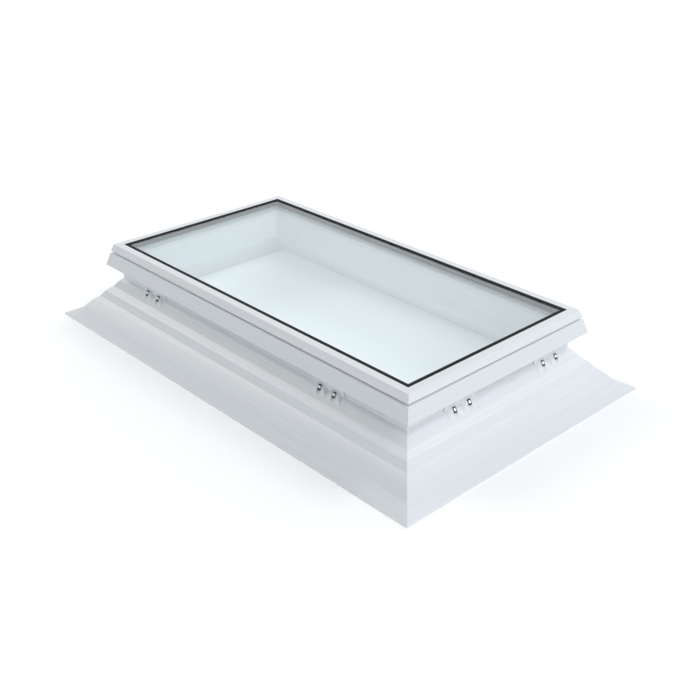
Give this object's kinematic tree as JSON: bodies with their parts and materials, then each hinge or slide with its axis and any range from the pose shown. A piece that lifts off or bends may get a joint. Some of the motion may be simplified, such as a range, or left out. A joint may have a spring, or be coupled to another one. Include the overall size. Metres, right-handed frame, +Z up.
{
  "type": "flat-glass roof skylight",
  "caption": "Fixed rectangular roof skylight: flush double glazing in a skirted white plastic frame on a splayed, fluted plastic upstand with a sloping toe.",
  "frame": {"origin": "centre of the underside of the upstand, at roof deck level", "axes": "+X along the long sides towards the right side, +Y towards the rear side, +Z up"},
  "size_m": [1.5622, 0.9422, 0.248],
  "materials": {
    "upstand_pvc": "satin white extruded PVC",
    "frame_pvc": "smooth white extruded PVC",
    "bead_pvc": "smooth white extruded PVC",
    "clip_plastic": "moulded white plastic",
    "gasket_rubber": "black EPDM",
    "inner_gasket_tpe": "light grey TPE",
    "clear_glass": "clear float glass",
    "spacer_metal": "mill finish",
    "sealant": "black polysulphide",
    "packer_plastic": "moulded",
    "screw_steel": "bright stainless",
    "cap_plastic": "moulded black"
  },
  "bodies": {
    "root": {"upstand_front": "upstand_pvc", "upstand_rear": "upstand_pvc", "upstand_left": "upstand_pvc", "upstand_right": "upstand_pvc", "frame_front": "frame_pvc", "frame_rear": "frame_pvc", "frame_left": "frame_pvc", "frame_right": "frame_pvc", "bead_front": "bead_pvc", "bead_rear": "bead_pvc", "bead_left": "bead_pvc", "bead_right": "bead_pvc", "outer_gasket": "gasket_rubber", "inner_gasket": "inner_gasket_tpe", "weather_seal": "gasket_rubber", "outer_pane": "clear_glass", "inner_pane": "clear_glass", "spacer_bar": "spacer_metal", "edge_seal": "sealant", "glazing_packers": "packer_plastic", "clip_front_left": "clip_plastic", "clip_front_right": "clip_plastic", "clip_rear_left": "clip_plastic", "clip_rear_right": "clip_plastic", "clip_left_front": "clip_plastic", "clip_left_rear": "clip_plastic", "clip_right_front": "clip_plastic", "clip_right_rear": "clip_plastic", "clip_screws": "screw_steel", "sealing_washers": "gasket_rubber", "screw_caps": "cap_plastic"}
  },
  "joints": []
}
